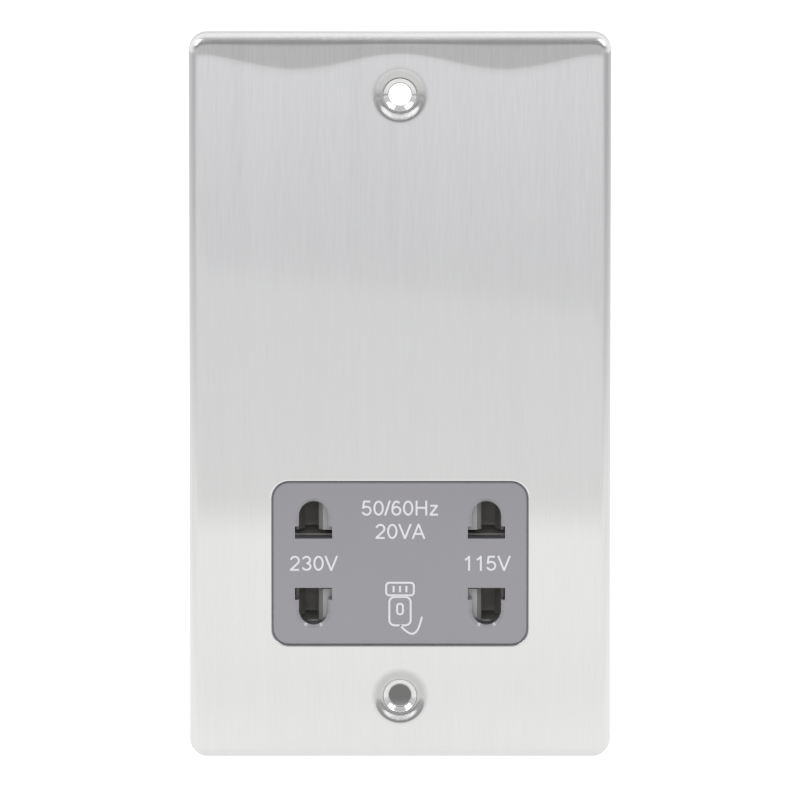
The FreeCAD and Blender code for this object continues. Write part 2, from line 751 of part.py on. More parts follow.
def lead_live():
    """Cut-out to live terminal."""
    x = cutout_x - cutout_leg_pitch / 2
    return lead([(x, cutout_y, cutout_bottom_z), (x, cutout_y, pin_bottom_z),
                 (x, rear_pin_y, tail_top_z + 2 * lead_radius), (x, rear_pin_y, tail_top_z)])


def lead_cutout():
    """Cut-out to the primary's pin."""
    x = cutout_x + cutout_leg_pitch / 2
    end_y = rear_pin_y + pin_radius + lead_radius + lead_gap
    return lead([(x, cutout_y, cutout_bottom_z), (x, cutout_y, bobbin_bottom_z), (x, end_y, pin_bottom_z)])


def lead_neutral():
    """Primary's pin to neutral terminal."""
    return rod_z(lead_radius, -terminal_x, rear_pin_y, tail_top_z, pin_bottom_z)


def lead_common():
    """Secondary's middle pin to the common strip."""
    y = carrier_back_y + strip + lead_radius + lead_gap
    z = pin_bottom_z - lead_drop
    return lead([(0, front_pin_y, pin_bottom_z), (0, front_pin_y, z), (0, y, z),
                 (0, y, socket_z + well_offset - bus_height / 2)])


def lead_outlet(side):
    """Secondary's side pin to one lower contact."""
    x = side * secondary_pin_pitch
    y = carrier_back_y + tag_reach + lead_radius + lead_gap
    z = pin_bottom_z - lead_drop
    low_z = socket_z + carrier_height / 2
    return lead([(x, front_pin_y, pin_bottom_z), (x, front_pin_y, z), (x, y, z),
                 (side * outlet_x, y, low_z), (side * outlet_x, y, socket_z - well_offset)])


def main():
    os.makedirs("parts", exist_ok=True)
    live, neutral, earth = terminal_places
    pieces = {
        "front_plate": front_plate(),
        "weld_studs": weld_studs(),
        "stud_nuts": stud_nuts(),
        "face_moulding": face_moulding(),
        "interlock_shutter": interlock_shutter(),
        "shutter_spring_left": shutter_spring(-1),
        "shutter_spring_right": shutter_spring(1),
        "contact_carrier": contact_carrier(),
        "common_contact": common_contact(),
        "contact_230v": outlet_contact(-1),
        "contact_115v": outlet_contact(1),
        "laminated_core": laminated_core(),
        "bobbin": bobbin(),
        "secondary_winding": winding(0),
        "primary_winding": winding(1),
        "secondary_tape": winding_tape(0),
        "primary_tape": winding_tape(1),
        "bobbin_pins": bobbin_pins(),
        "thermal_cutout": thermal_cutout(),
        "rear_housing": rear_housing(),
        "live_terminal": supply_terminal(live),
        "neutral_terminal": supply_terminal(neutral),
        "earth_terminal": terminal_block(*earth),
        "terminal_screws": terminal_screws(),
        "earth_strap": earth_strap(),
        "lead_live": lead_live(),
        "lead_cutout": lead_cutout(),
        "lead_neutral": lead_neutral(),
        "lead_common": lead_common(),
        "lead_230v": lead_outlet(-1),
        "lead_115v": lead_outlet(1),
    }
    for name, shape in pieces.items():
        shape.exportStep("parts/" + name + ".step")


main()
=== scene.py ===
import json
import math
from functools import partial

import bmesh
import bpy
import numpy as np
from bpy.props import FloatProperty, FloatVectorProperty, PointerProperty, StringProperty
from bpy.types import Operator, Panel, PropertyGroup
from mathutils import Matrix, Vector


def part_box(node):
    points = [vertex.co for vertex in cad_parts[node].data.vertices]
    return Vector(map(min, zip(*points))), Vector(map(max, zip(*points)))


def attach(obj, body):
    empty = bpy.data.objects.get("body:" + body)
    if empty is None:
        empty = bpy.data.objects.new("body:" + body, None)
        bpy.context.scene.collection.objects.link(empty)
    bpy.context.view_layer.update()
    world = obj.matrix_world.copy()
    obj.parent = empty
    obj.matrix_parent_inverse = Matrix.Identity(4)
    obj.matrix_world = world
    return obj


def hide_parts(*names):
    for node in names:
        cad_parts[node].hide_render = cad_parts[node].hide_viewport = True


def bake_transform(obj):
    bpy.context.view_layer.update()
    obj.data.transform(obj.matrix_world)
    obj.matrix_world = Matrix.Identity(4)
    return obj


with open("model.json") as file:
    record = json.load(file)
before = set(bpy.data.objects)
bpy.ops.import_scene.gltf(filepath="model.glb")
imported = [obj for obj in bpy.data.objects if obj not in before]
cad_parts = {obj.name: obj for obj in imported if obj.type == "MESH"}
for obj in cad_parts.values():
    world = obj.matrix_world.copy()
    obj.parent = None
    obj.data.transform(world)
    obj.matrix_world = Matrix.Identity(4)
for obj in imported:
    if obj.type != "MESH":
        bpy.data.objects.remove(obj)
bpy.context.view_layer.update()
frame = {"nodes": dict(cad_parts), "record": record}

bl_info = {
    "name": "Shaver socket looks",
    "version": (1, 0, 0),
    "blender": (4, 5, 0),
    "location": "3D View > Sidebar > Shaver socket",
    "description": "Finishes, printed marks and stage of a shaver supply unit, built round its CAD frame",
    "category": "Object",
}

# What the frame says
PLATE_LOW, PLATE_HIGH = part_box("front_plate")
FACE_LOW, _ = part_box("face_moulding")
STUDS_LOW, STUDS_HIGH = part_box("weld_studs")
OPENINGS = {o["name"]: o["box_m"] for o in frame["record"]["physics"]["openings"]}

MM = 0.001
QUARTER = math.pi / 2
# Points nearer than JOIN are one point, and edges that turn by more than CREASE are sharp
JOIN = 1e-7
CREASE = math.radians(35)
# Rows of faces from a hole or the window to the edge of its band, in front and behind
FACE_ROWS, BACK_ROWS = 30, 3
UNIT = "socket_unit"


# Shader sums

def plug(place, value):
    """Links a Value into a socket, or sets a plain number or colour on it."""
    if isinstance(value, Value):
        place.id_data.links.new(value.socket, place)
    else:
        place.default_value = value


def sums(operation, swapped=False):
    """Method that adds a Math node, with its terms the other way round if swapped."""
    def method(self, *other):
        node = self.socket.id_data.nodes.new("ShaderNodeMath")
        node.operation = operation
        for place, term in zip(node.inputs, (*other, self) if swapped else (self, *other)):
            plug(place, term)
        return Value(node.outputs[0])
    return method


class Value:
    """A socket that takes part in Python sums: each sum adds its Math node. Its root is the square root,
    and its part is what is left after the whole number."""

    def __init__(self, socket):
        self.socket = socket

    __add__ = __radd__ = sums("ADD")
    __mul__ = __rmul__ = sums("MULTIPLY")
    __sub__, __rsub__ = sums("SUBTRACT"), sums("SUBTRACT", swapped=True)
    __truediv__, __rtruediv__ = sums("DIVIDE"), sums("DIVIDE", swapped=True)
    __abs__, root, part = sums("ABSOLUTE"), sums("SQRT"), sums("FRACT")


class Shading:
    """A node tree that is filled through one method."""

    def __init__(self, tree):
        self.tree = tree
        tree.nodes.clear()

    def node(self, kind, settings=None, inputs=None, output=0):
        """Adds a shader node, sets its settings, then its sockets, and gives one output as a Value."""
        node = self.tree.nodes.new("ShaderNode" + kind)
        for name, value in (settings or {}).items():
            setattr(node, name, value)
        for name, value in (inputs or {}).items():
            plug(node.inputs[name], value)
        return Value(node.outputs[output]) if node.outputs else None

    def place(self, grain=1.0):
        """Object coordinates in units of grain: one length in metres, or one along each axis."""
        where = self.node("TexCoord", output="Object")
        scale = tuple(1 / np.broadcast_to(grain, 3))
        return self.node("Mapping", inputs={"Vector": where, "Scale": scale})

    def axes(self, place=None):
        """The three numbers of a place, or else of the object coordinates."""
        apart = self.node("SeparateXYZ", inputs={"Vector": place or self.place()})
        return [Value(socket) for socket in apart.socket.node.outputs]

    def noise(self, grain, detail=2.0):
        """Soft noise from 0 to 1 with grains of one length in millimetres, or of one along each axis."""
        return self.node("TexNoise", inputs={
            "Vector": self.place(MM * np.array(grain)), "Scale": 1.0, "Detail": detail})

    def step(self, value, low, high, from_value=0.0, to_value=1.0):
        """Smooth step between two levels."""
        return self.node("MapRange", {"interpolation_type": "SMOOTHSTEP"}, {
            "Value": value, "From Min": low, "From Max": high, "To Min": from_value, "To Max": to_value})

    def blend(self, share, first, second):
        """Colour between two colours."""
        return self.node("Mix", {"data_type": "RGBA"}, {
            "Factor": share, 6: first, 7: second}, output=2)

    def scaled(self, colour, share):
        """A colour made lighter or darker from place to place."""
        return self.node("VectorMath", {"operation": "SCALE"}, {0: colour, "Scale": share})

    def bump(self, height, depth, strength):
        """Surface normal that follows a height from 0 to 1."""
        return self.node("Bump", inputs={
            "Height": height, "Distance": depth, "Strength": strength})


class Finish(Shading):
    """A material with one Principled surface."""

    def __init__(self, name, **sockets):
        self.material = bpy.data.materials.new(name)
        self.material.use_nodes = True
        super().__init__(self.material.node_tree)
        surface = self.node("BsdfPrincipled")
        self.surface = surface.socket.node
        self.node("OutputMaterial", inputs={"Surface": surface})
        self.set(**sockets)

    def set(self, **sockets):
        """Sets or links sockets of the surface and gives the material; Base_Color stands for Base Color."""
        for name, value in sockets.items():
            plug(self.surface.inputs[name.replace("_", " ")], value)
        return self.material

    def shades(self, share, colour, dark, light):
        """Colour between a darker and a lighter shade of one colour."""
        return self.blend(share, tone(colour, dark), tone(colour, light))


def tone(colour, share):
    """A colour made lighter or darker, with full alpha."""
    return (*(min(1.0, c * share) for c in colour[:3]), 1.0)


# Finishes

def brushed_steel(plate):
    """Sheet steel brushed up and down: long fine scratches that spread light sideways, clear above and
    faint lower down. Where the press has drawn it, it is duller, and in the dishes its colour is darkened as
    painted shade."""
    steel = Finish("brushed_steel", Metallic=1.0, Anisotropic=plate.brushing)
    line = np.array([plate.scratch_width, plate.scratch_width, plate.scratch_length]) / MM
    scratch = steel.noise(line, 3.0)
    band = steel.noise(line * (7, 7, 20))
    stain = steel.noise((22, 22, 60), 1.0)
    x, _, z = steel.axes()
    shown = steel.step(z, plate.faint_height, plate.clear_height, plate.faint, 1.0)
    mottle = 0.5 + shown * (0.5 * scratch + 0.35 * band + 0.15 * stain - 0.5)
    above = abs(z) - plate.hole_rise
    radius = (x * x + above * above).root()
    dish = (steel.step(radius, 0.85 * plate.hollow_radius, 1.1 * plate.hollow_radius, 1.0, 0.0)
            * steel.step(radius, plate.seat_radius, plate.seat_radius + plate.step_width))
    inner, outer = 1.2 * plate.edge_radius, 0.8 * plate.edge_radius
    side = steel.step(abs(x), plate.half_width - inner, plate.half_width - outer)
    end = steel.step(abs(z), plate.half_height - inner, plate.half_height - outer)
    rim = 1 - (1 - side) * (1 - end)
    bright = steel.shades(mottle, plate.colour, 1 - plate.contrast, 1 + plate.contrast)
    polish = plate.roughness * (0.75 + 0.3 * scratch + 0.2 * band)
    # Painted shade: the steel's colour is darkened in the dishes; the added blur there is roughness
    return steel.set(Base_Color=steel.scaled(bright, 1 - plate.dish_painted_shade * dish),
                     Roughness=polish + plate.drawn_roughness * (dish + plate.drawn_rim * rim),
                     Normal=steel.bump(scratch, plate.scratch_depth, 0.25))


def moulded(name, colour, roughness, grain=0.25, depth=0.006 * MM, gloss=0.0, gloss_index=1.5):
    """Injection moulding: fine spark-eroded grain (in millimetres), faint flow clouding, optional polish."""
    plastic = Finish(name, Coat_Weight=gloss, Coat_Roughness=0.12, Coat_IOR=gloss_index)
    pebble = plastic.noise(grain, 3.0)
    cloud = plastic.noise((9, 9, 14))
    shade = 0.6 * cloud + 0.4 * pebble
    return plastic.set(Base_Color=plastic.shades(shade, colour, 0.95, 1.05),
                       Roughness=roughness + 0.10 * (pebble - 0.5) + 0.06 * (cloud - 0.5),
                       Normal=plastic.bump(pebble, depth, 0.5))


def printed_ink(name, colour):
    """Pad-printed ink: matt, a little thin in places."""
    ink = Finish(name)
    thin = ink.noise(0.12)
    return ink.set(Base_Color=ink.shades(thin, colour, 0.93, 1.04),
                   Roughness=0.5 + 0.15 * (thin - 0.5),
                   Normal=ink.bump(thin, 0.002 * MM, 0.4))


def rolled_metal(name, colour, roughness, grain, tarnish=0.12, bare=1.0):
    """Plated or rolled metal: grain (in millimetres) drawn along one axis, cloudy tarnish, small handling
    marks. Less bare metal looks dull and oxidised."""
    metal = Finish(name, Metallic=bare)
    drawn = metal.noise(grain, 3.0)
    cloud = metal.noise(3, 3.0)
    mark = metal.step(metal.noise(0.7, 4.0), 0.62, 0.72)
    shade = metal.step(cloud, 0.35, 0.7)
    worn = metal.shades(shade, colour, 1.0, 1 - tarnish)
    return metal.set(Base_Color=metal.blend(0.35 * mark, worn, tone(colour, 1 - 2.5 * tarnish)),
                     Roughness=roughness + 0.12 * (drawn - 0.5) + 0.10 * shade + 0.08 * mark,
                     Normal=metal.bump(drawn, 0.008 * MM, 0.35))


def core_laminations(coil):
    """Stacked steel sheets: dark lines between sheets, blue-grey oxide, rust-brown specks."""
    core = Finish("core_laminations", Metallic=0.85)
    _, y, _ = core.axes()
    edge = 2 * abs((y / coil.lamination).part() - 0.5)
    line = core.step(edge, 0.72, 0.98)
    oxide = core.noise((4, 0.6, 4), 3.0)
    speck = core.step(core.noise((0.5, 0.3, 0.5), 4.0), 0.6, 0.75)
    plain = core.shades(oxide, coil.core_colour, 0.8, 1.2)
    rusty = core.blend(0.4 * speck, plain, (0.16, 0.09, 0.05, 1.0))
    return core.set(Base_Color=core.blend(0.75 * line, rusty, (0.02, 0.02, 0.022, 1.0)),
                    Roughness=0.42 + 0.2 * oxide + 0.2 * line,
                    Normal=core.bump(1 - line, 0.05 * MM, 0.8))


def enamelled_wire(coil):
    """Layer wound copper wire: one turn over another up the coil, under clear enamel, with painted shade
    darkening the grooves between turns.
    """
    wire = Finish("enamelled_wire", Metallic=0.9, Coat_Weight=0.5, Coat_Roughness=0.1)
    _, _, z = wire.axes()
    sway = wire.noise((6, 6, 1.5), 1.0)
    turns = z / coil.wire + 0.6 * sway
    crest = turns.part()
    round_top = 4 * crest * (1 - crest)
    heat = wire.noise(5)
    bright = wire.shades(heat, coil.copper_colour, 0.8, 1.1)
    # The colour darkens in the grooves between turns as painted shade; round_top also shapes the bump
    return wire.set(Base_Color=wire.blend(round_top, tone(coil.copper_colour, 0.3), bright),
                    Roughness=0.3 + 0.12 * heat,
                    Normal=wire.bump(round_top, 0.06 * MM, 0.9))


def film_tape(coil):
    """Glossy polyester tape in lapped turns, with faint wrinkles and trapped air."""
    film = Finish("film_tape", Coat_Weight=0.4, Coat_Roughness=0.15)
    x, _, z = film.axes()
    lap = (z / coil.tape_lap + 4.0 * x).part()
    edge = film.step(lap, 0.94, 0.99)
    wrinkle = film.noise((2.5, 2.5, 0.6), 3.0)
    air = film.step(film.noise(1.2), 0.58, 0.7)
    plain = film.shades(0.35 * air, coil.tape_colour, 0.9, 1.2)
    return film.set(Base_Color=film.blend(0.5 * edge, plain, tone(coil.tape_colour, 0.55)),
                    Roughness=0.32 + 0.15 * wrinkle,
                    Normal=film.bump(0.7 * wrinkle + 0.5 * edge, 0.04 * MM, 0.5))


def wire_sleeve(name, colour):
    """Extruded PVC on a lead: even gloss with faint drag lines and scuffs."""
    sleeve = Finish(name)
    drag = sleeve.noise((0.3, 0.3, 5))
    scuff = sleeve.step(sleeve.noise((1.5, 1.5, 2.5), 3.0), 0.55, 0.75)
    return sleeve.set(Base_Color=sleeve.shades(drag, colour, 0.88, 1.1),
                      Roughness=0.34 + 0.2 * scuff,
                      Normal=sleeve.bump(drag, 0.01 * MM, 0.4))


def studio_paper(stage):
    """Pale paper lit from below, with painted light and shade: palest at the object's foot, greyer in soft
    bands towards the camera and to the sides, and a painted shadow in one spot just behind the object."""
    paper = Finish("studio_paper", Roughness=0.9, Specular_IOR_Level=0.0)
    x, y, _ = paper.axes()
    front = 0 - y
    half_edge = stage.edge_reach / 2
    # What each band of painted light and shade is measured along, its middle, half its width, and the
    # brightness past it
    bands = ((front, stage.near_band, 0.035, stage.near_shade),
             (front + stage.band_slant * x, stage.far_band, 0.008, stage.far_shade),
             (front, stage.end_band, 0.3, stage.end_shade),
             (front, stage.floor_front - half_edge, half_edge, stage.edge_shade),
             (abs(x), stage.aside_place, 0.5, stage.aside_shade))
    # Painted light: the floor is brighter at the plate's foot
    level = paper.step(front, 0.0, stage.foot_reach, stage.foot_shade, 1.0)
    for where, middle, half, shade in bands:
        level = level * paper.step(where, middle - half, middle + half, 1.0, shade)
    # Painted shadow: a dark spot on the floor just behind the plate
    beside = x / stage.painted_shadow_width
    behind = (y - stage.painted_shadow_place) / stage.painted_shadow_depth
    painted_shadow = paper.step((beside * beside + behind * behind).root(), 0.12, 1.0, 1 - stage.painted_shadow_darkness, 1.0)
    fibre = paper.noise(2, 3.0)
    white = paper.blend(paper.step(front, 0.25, 0.85), tone(stage.paper, 1.0), tone(stage.far_paper, 1.0))
    lit = paper.scaled(white, level * painted_shadow * (0.99 + 0.02 * fibre))
    return paper.set(Base_Color=lit, Emission_Color=lit, Emission_Strength=stage.glow)


# Settings

def setting(kind, scale=None, **fixed):
    """Gives a function that makes settings of one kind from a description and a default, times the scale."""
    def make(description, default):
        value = default if scale is None else scale * default
        return partial(kind, description=description, default=value, **fixed)
    return make


# Lengths in metres and in millimetres, angles in degrees, plain numbers, watts, linear colours, text,
# and places and widths of the lights
METRES = {"precision": 5, "subtype": "DISTANCE", "unit": "LENGTH"}
length = setting(FloatProperty, **METRES)
mm = setting(FloatProperty, scale=MM, **METRES)
turn = setting(FloatProperty, scale=math.radians(1), subtype="ANGLE", unit="ROTATION")
number = setting(FloatProperty, precision=3)
power = setting(FloatProperty, unit="POWER")
tint = setting(FloatVectorProperty, size=3, min=0.0, max=1.0, subtype="COLOR")
words = setting(StringProperty)
spot = setting(FloatVectorProperty, size=3, precision=5, subtype="TRANSLATION", unit="LENGTH")
extent = setting(FloatVectorProperty, size=2, precision=5, unit="LENGTH")


def labelled(group):
    """Completes each setting of a group with its name: half_width gets the name Half width."""
    group.__annotations__ = {field: setting(name=field.replace("_", " ").capitalize())
                             for field, setting in group.__annotations__.items()}
    return group


@labelled
class PlateSettings(PropertyGroup):
    """Pressed steel wall plate."""

    half_width: length("Middle to side of the plate", PLATE_HIGH.x)
    half_height: length("Middle to top of the plate", PLATE_HIGH.z)
    depth: length("Wall to face", -PLATE_LOW.y)
    sheet: mm("Thickness of the steel", 1.0)
    corner_radius: mm("Rounding of the outline", 3.6)
    edge_radius: mm("Rounding from the face to the sides", 1.9)
    hole_rise: mm("Middle of the plate to a fixing hole", 60.3)
    bore_radius: mm("Fixing hole", 2.25)
    seat_radius: mm("Rim of the screw seat", 3.3)
    step_width: mm("Steep step round the screw seat", 0.18)
    step_slope: turn("Slope of that step", 58.0)
    hollow_radius: mm("Where the dish begins to leave the face", 5.5)
    hollow: number("How late the dish grows steep", 1.3)
    dish_slope: turn("Steepest slope of the dish", 31.0)
    dish_radius: mm("Where the dish leaves the back of the sheet", 5.7)
    lip_radius: mm("Rounding of the dish behind", 1.65)
    back_slope: turn("Slope of the dish behind", 40.0)
    seat_slope: turn("Slope of the screw seat", 31.0)
    ease: mm("Rounding of the edges inside the dish", 0.22)
    window_half_width: mm("Middle of the opening to its side", 25.55)
    window_half_height: mm("Middle of the opening to its top", 16.55)
    window_corner: mm("Rounding of the opening's corners", 3.5)
    window_edge: mm("Rounding of the opening's front edge", 0.2)
    window_z: mm("Middle of the opening from the plate's middle", -33.5)
    bow_tilt: turn("How far the face leans back at its top edge", 6.5)
    bow_least: mm("Reach of the lean at the middle and the corners", 0.9)
    bow_most: mm("Reach of the lean between them", 2.35)
    bow_spacing: mm("From one deep lean to the next", 42.0)
    colour: tint("Reflection colour of the steel", (0.59, 0.59, 0.591))
    roughness: number("Blur of the reflections", 0.08)
    drawn_roughness: number("More blur where the press has bent the sheet", 0.20)
    drawn_rim: number("How much of that blur the rim has", 0.4)
    # Painted shade that darkens the steel's colour in the dishes
    dish_painted_shade: number("How much darker the steel is in the dishes", 0.2)
    contrast: number("How much lighter or darker a brush line is", 0.12)
    brushing: number("How much wider the blur is sideways", 1.0)
    scratch_width: mm("Width of a brush line", 0.42)
    scratch_length: mm("Length of a brush line", 7.0)
    scratch_depth: mm("Depth of a brush line", 0.002)
    faint: number("How much of the brush lines shows on the lower part", 0.45)
    faint_height: mm("Below this the brush lines are faint", 14.0)
    clear_height: mm("Above this they show in full", 44.0)


@labelled
class FaceSettings(PropertyGroup):
    """Grey socket face with its printed marks."""

    front: length("Face of the moulding from the wall", FACE_LOW.y)
    grey: tint("Colour of the face moulding", (0.1305, 0.1267, 0.1433))
    roughness: number("Gloss of the face moulding", 0.42)
    ink: tint("Colour of the printed marks", (0.46, 0.457, 0.47))
    ink_depth: mm("How far the ink stands on the face", 0.02)
    letter_height: mm("Height of a capital", 3.0)
    left_mark: words("Voltage of the left outlet", "230V")
    right_mark: words("Voltage of the right outlet", "115V")
    first_line: words("Upper rating line", "50/60Hz")
    second_line: words("Lower rating line", "20VA")
    line_width: mm("Width of the printed lines", 0.38)
    sign_height: mm("Height of the drawn shaver", 10.6)


@labelled
class MouldingSettings(PropertyGroup):
    """Other plastic mouldings."""

    housing: tint("Rear housing", (0.035, 0.036, 0.040))
    shutter: tint("Interlock shutter", (0.38, 0.375, 0.38))
    carrier: tint("Contact carrier", (0.30, 0.295, 0.29))
    bobbin: tint("Bobbin of the transformer", (0.025, 0.025, 0.026))
    cutout: tint("Case of the thermal cut-out", (0.62, 0.60, 0.55))


@labelled
class MetalSettings(PropertyGroup):
    """Bare and plated metals."""

    zinc: tint("Plated studs, nuts and screws", (0.62, 0.63, 0.65))
    brass: tint("Terminals and strap", (0.72, 0.52, 0.22))
    contact: tint("Oxidised contact strip", (0.30, 0.285, 0.27))
    bronze: tint("Springs", (0.66, 0.43, 0.25))
    tin: tint("Solder pins", (0.70, 0.70, 0.69))
    spring_strip: mm("Thickness of a leaf spring", 0.3)
    stud_radius: mm("Outside of the studs' thread", 1.5)
    thread_pitch: mm("Pitch of the studs' thread", 0.5)
    thread_depth: mm("Depth of the studs' thread", 0.3)


@labelled
class CoilSettings(PropertyGroup):
    """Transformer."""

    core_colour: tint("Oxide on the laminations", (0.16, 0.17, 0.19))
    copper_colour: tint("Enamelled wire", (0.70, 0.30, 0.14))
    tape_colour: tint("Tape round the windings", (0.72, 0.50, 0.06))
    lamination: mm("Thickness of one sheet", 0.5)
    wire: mm("Thickness of the wire", 0.24)
    tape_lap: mm("Height of one turn of tape", 6.0)


@labelled
class LeadSettings(PropertyGroup):
    """Sleeves of the inner leads."""

    brown: tint("Live lead", (0.16, 0.06, 0.025))
    blue: tint("Neutral lead", (0.02, 0.10, 0.42))
    white: tint("Common lead", (0.78, 0.78, 0.75))
    red: tint("230 V lead", (0.55, 0.02, 0.02))
    yellow: tint("115 V lead", (0.80, 0.60, 0.03))


@labelled
class StageSettings(PropertyGroup):
    """Floor, lights and camera."""

    paper: tint("Floor round the object", (0.2, 0.2, 0.198))
    far_paper: tint("Floor towards the camera, a little colder", (0.191, 0.191, 0.194))
    glow: number("Light that comes up through the floor", 4.95)
    floor_front: length("How far the floor reaches towards the camera", 1.5)
    floor_back: length("How far the floor reaches behind", 3.2)
    floor_side: length("How far the floor reaches sideways", 2.2)
    # The bands below are painted light and shade on the floor: it dims and brightens by turns towards the
    # camera, dims to the sides and brightens at the plate's foot, in place of uneven studio light
    near_band: length("Where the floor turns greyer in front", 0.33)
    near_shade: number("Brightness past the near band", 0.84)
    far_band: length("Where it turns greyer again", 0.715)
    far_shade: number("Brightness past the far band", 0.925)
    band_slant: number("Slant of the far band", 0.87)
    end_band: length("Where it turns paler again", 0.93)
    end_shade: number("Brightness past the end band", 1.08)
    aside_place: length("Where the floor turns greyer to the sides", 0.55)
    aside_shade: number("Brightness to the sides", 0.65)
    foot_shade: number("Brightness at the plate's foot", 1.075)
    foot_reach: length("How far that shade reaches", 0.10)
    edge_shade: number("Brightness at the floor's front edge", 0.9)
    edge_reach: length("How far that shade reaches", 0.25)
    key_power: power("Softboxes left and right above the plate", 2.2)
    key_place: spot("Middle of the right key light", (0.65, -0.55, 0.72))
    key_size: extent("Key lights across, and from front to back", (0.28, 0.6))
    fill_power: power("Large softbox in front", 34)
    fill_place: spot("Middle of the fill light", (0.0, -2.4, 0.6))
    fill_size: extent("Fill light across, and up and down", (1.4, 1.4))
    back_power: power("Softbox over the floor behind", 8)
    back_place: spot("Middle of the back light", (0.0, 1.1, 0.95))
    back_size: extent("Back light across, and from front to back", (2.0, 0.8))
    # Painted shadow on the floor just behind the plate
    painted_shadow_darkness: number("How dark the floor is just behind the plate", 0.87)
    painted_shadow_place: length("Middle of that shade behind the plate", 0.08)
    painted_shadow_width: length("Reach of that shade sideways", 0.046)
    painted_shadow_depth: length("Reach of that shade front to back", 0.07)
    sky_front: number("Brightness of the room in front", 0.47)
    sky_low: number("Brightness of the room near the floor", 0.76)
    sky_top: number("Brightness of the room overhead", 1.4)
    sky_back: number("Brightness of the room behind", 1.0)
    elevation: turn("Camera above the level of the plate", 8.0)
    distance: length("Camera to object", 3.0)
    frame_width: mm("What the picture takes in at the object", 159.08)
    aim_z: mm("Height of the picture's middle", -0.99)


# Surfaces

def grid_quads(rows, columns, closed):
    """Four corners of each cell of a grid; a closed grid joins its last column to its first."""
    i = np.arange(rows - 1)[:, None]
    j = np.arange(columns if closed else columns - 1)[None, :]
    k = (j + 1) % columns
    corners = (i * columns + j, i * columns + k, (i + 1) * columns + k, (i + 1) * columns + j)
    return np.stack(np.broadcast_arrays(*corners), -1).reshape(-1, 4)


def surface(name, grids, material):
    """Piece made of (grid of points, closed) pairs, joined where they meet, faces outwards."""
    points = np.concatenate([grid.reshape(-1, 3) for grid, _ in grids])
    starts = np.cumsum([0] + [grid.shape[0] * grid.shape[1] for grid, _ in grids])
    quads = np.concatenate([start + grid_quads(grid.shape[0], grid.shape[1], closed)
                            for start, (grid, closed) in zip(starts, grids)])
    mesh = bpy.data.meshes.new(name)
    mesh.from_pydata(points, [], quads)
    work = bmesh.new()
    work.from_mesh(mesh)
    bmesh.ops.remove_doubles(work, verts=work.verts, dist=JOIN)
    bmesh.ops.recalc_face_normals(work, faces=work.faces)
    work.to_mesh(mesh)
    work.free()
    mesh.shade_smooth()
    mesh.set_sharp_from_angle(angle=CREASE)
    mesh.materials.append(material)
    piece = bpy.data.objects.new(name, mesh)
    bpy.context.scene.collection.objects.link(piece)
    return piece


def unit(ways):
    """Each way divided by its length."""
    return ways / np.linalg.norm(ways, axis=-1, keepdims=True)


def drawn_in(strip):
    """A strip with one more row at each end, whose points all lie in the middle of that end."""
    ends = np.broadcast_to(strip.mean(1, keepdims=True), strip.shape)
    return np.concatenate([ends[:1], strip, ends[-1:]])


def crowded(half, count):
    """Points from -half to half that crowd to the middle: half (0.4 u + 0.6 u cubed), u from -1 to 1."""
    u = np.linspace(-1, 1, count)
    return half * (0.4 * u + 0.6 * u ** 3)


def across(xs, z):
    """Points along x at one height."""
    return np.stack([xs, np.full_like(xs, z)], -1)


def upright(x, zs):
    """Points along z at one side."""
    return np.stack([np.full_like(zs, x), zs], -1)


def corner_turn(x, z, radius, start, count=9):
    """Quarter circle, anticlockwise from the angle start: centre plus radius times (cos, sin)."""
    angle = start + np.linspace(0, QUARTER, count)
    return np.stack([x + radius * np.cos(angle), z + radius * np.sin(angle)], -1)


def chain(*runs):
    """One closed loop from runs that meet end to end; a shared point is kept once."""
    points = np.concatenate(runs)
    return points[np.linalg.norm(points - np.roll(points, 1, 0), axis=1) > JOIN]


def eased(corners, radius, steps=5, most=0.45):
    """Profile with its inner corners rounded: a parabola from one side to the other,
    (1 - s) squared A + 2 s (1 - s) C + s squared B, with A and B at the radius from corner C, but
    no further along a side than its share most."""
    middle = corners[1:-1]
    a, b = (middle + unit(side) * np.minimum(radius, most * np.linalg.norm(side, axis=1, keepdims=True))
            for side in (corners[:-2] - middle, corners[2:] - middle))
    s = np.linspace(0, 1, steps)[None, :, None]
    arcs = (1 - s) ** 2 * a[:, None] + 2 * s * (1 - s) * middle[:, None] + s ** 2 * b[:, None]
    return np.concatenate([corners[:1], arcs.reshape(-1, 2), corners[-1:]])


# Wall plate

